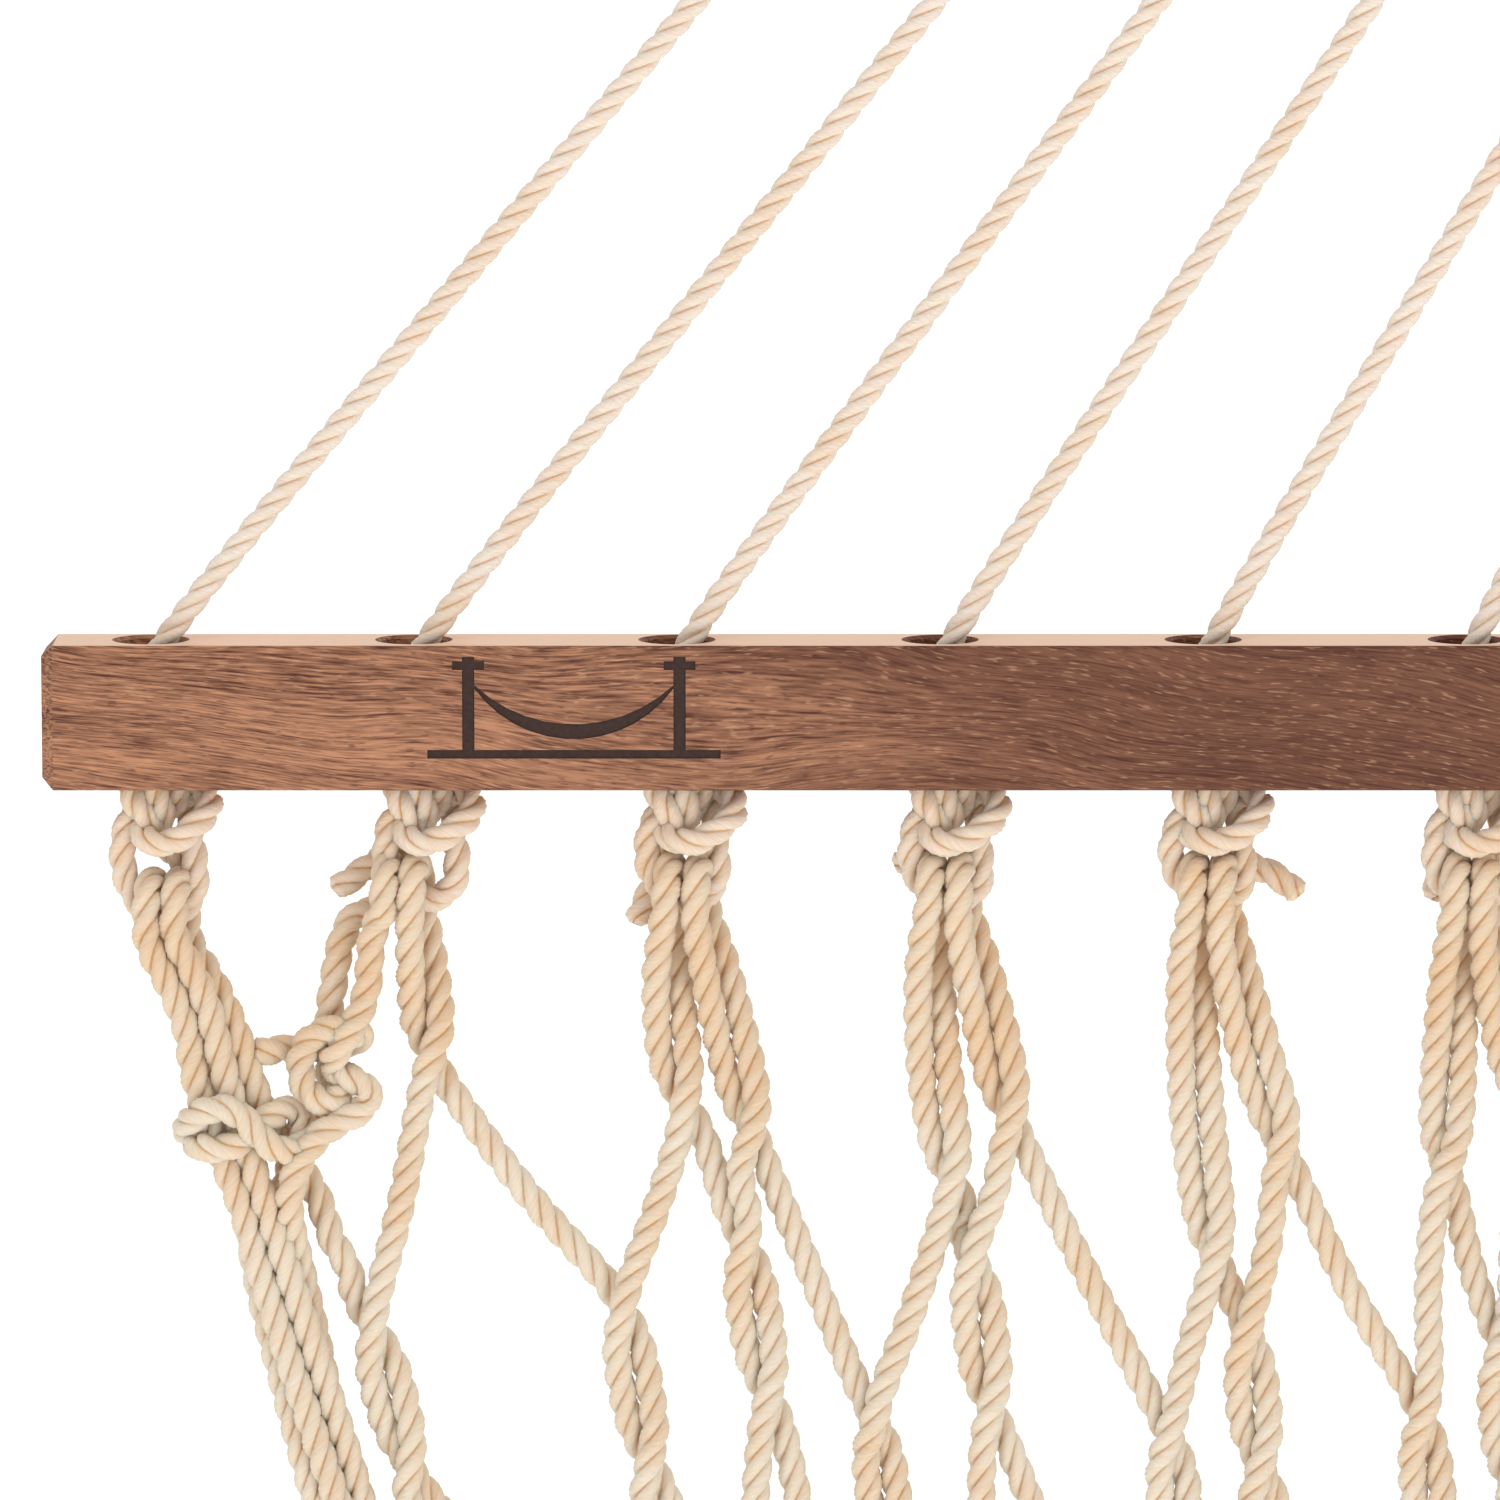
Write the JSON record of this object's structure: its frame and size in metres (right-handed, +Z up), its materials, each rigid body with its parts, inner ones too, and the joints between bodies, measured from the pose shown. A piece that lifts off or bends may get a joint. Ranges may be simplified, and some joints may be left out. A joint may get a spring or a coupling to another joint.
{
  "type": "rope hammock",
  "caption": "Hanging rope net bed between two drilled hardwood spreader bars, with a fan of clew ropes gathered on a steel ring at each end.",
  "frame": {"origin": "top of the head ring's eye, where the hook bears; the hammock hangs straight down from it", "axes": "+Z up along the hammock's length, +X along the spreader bars, +Y through the net, the bar's marked face towards -Y"},
  "size_m": [1.394, 0.02, 3.8705],
  "materials": {
    "bar_wood": "oiled",
    "clew_rope": "laid cotton, tight",
    "net_rope": "laid cotton, soft",
    "ring_steel": "zinc plated"
  },
  "bodies": {
    "head_harness": {"head_bar": "bar_wood", "head_clew_01": "clew_rope", "head_clew_02": "clew_rope", "head_clew_03": "clew_rope", "head_clew_04": "clew_rope", "head_clew_05": "clew_rope", "head_clew_06": "clew_rope", "head_clew_07": "clew_rope", "head_clew_08": "clew_rope", "head_clew_09": "clew_rope", "head_clew_10": "clew_rope", "head_clew_11": "clew_rope", "head_clew_12": "clew_rope", "head_clew_13": "clew_rope"},
    "head_ring": {"head_ring": "ring_steel"},
    "net_upper": {"net_lane_01_upper": "net_rope", "net_lane_02_upper": "net_rope", "net_lane_03_upper": "net_rope", "net_lane_04_upper": "net_rope", "net_lane_05_upper": "net_rope", "net_lane_06_upper": "net_rope", "net_lane_07_upper": "net_rope", "net_lane_08_upper": "net_rope", "net_lane_09_upper": "net_rope", "net_lane_10_upper": "net_rope", "net_lane_11_upper": "net_rope", "net_lane_12_upper": "net_rope", "net_lane_13_upper": "net_rope", "selvedge_left_upper": "net_rope", "selvedge_right_upper": "net_rope"},
    "net_lower": {"net_lane_01_lower": "net_rope", "net_lane_02_lower": "net_rope", "net_lane_03_lower": "net_rope", "net_lane_04_lower": "net_rope", "net_lane_05_lower": "net_rope", "net_lane_06_lower": "net_rope", "net_lane_07_lower": "net_rope", "net_lane_08_lower": "net_rope", "net_lane_09_lower": "net_rope", "net_lane_10_lower": "net_rope", "net_lane_11_lower": "net_rope", "net_lane_12_lower": "net_rope", "net_lane_13_lower": "net_rope", "selvedge_left_lower": "net_rope", "selvedge_right_lower": "net_rope"},
    "foot_harness": {"foot_bar": "bar_wood", "foot_clew_01": "clew_rope", "foot_clew_02": "clew_rope", "foot_clew_03": "clew_rope", "foot_clew_04": "clew_rope", "foot_clew_05": "clew_rope", "foot_clew_06": "clew_rope", "foot_clew_07": "clew_rope", "foot_clew_08": "clew_rope", "foot_clew_09": "clew_rope", "foot_clew_10": "clew_rope", "foot_clew_11": "clew_rope", "foot_clew_12": "clew_rope", "foot_clew_13": "clew_rope"},
    "foot_ring": {"foot_ring": "ring_steel"}
  },
  "joints": [
    {"name": "head_ring_turn", "type": "hinge", "parent": "head_harness", "child": "head_ring", "pos_m": [0, 0, -0.03325], "axis": [0, 1, 0], "continuous": true},
    {"name": "head_loops", "type": "hinge", "parent": "head_harness", "child": "net_upper", "pos_m": [0, 0, -0.88425], "axis": [1, 0, 0], "range_deg": [-90, 90]},
    {"name": "net_fold", "type": "hinge", "parent": "net_upper", "child": "net_lower", "pos_m": [0, 0, -1.92575], "axis": [1, 0, 0], "range_deg": [-90, 90]},
    {"name": "foot_loops", "type": "hinge", "parent": "net_lower", "child": "foot_harness", "pos_m": [0, 0, -2.96725], "axis": [1, 0, 0], "range_deg": [-90, 90]},
    {"name": "foot_ring_turn", "type": "hinge", "parent": "foot_harness", "child": "foot_ring", "pos_m": [0, 0, -3.81825], "axis": [0, 1, 0], "continuous": true}
  ]
}
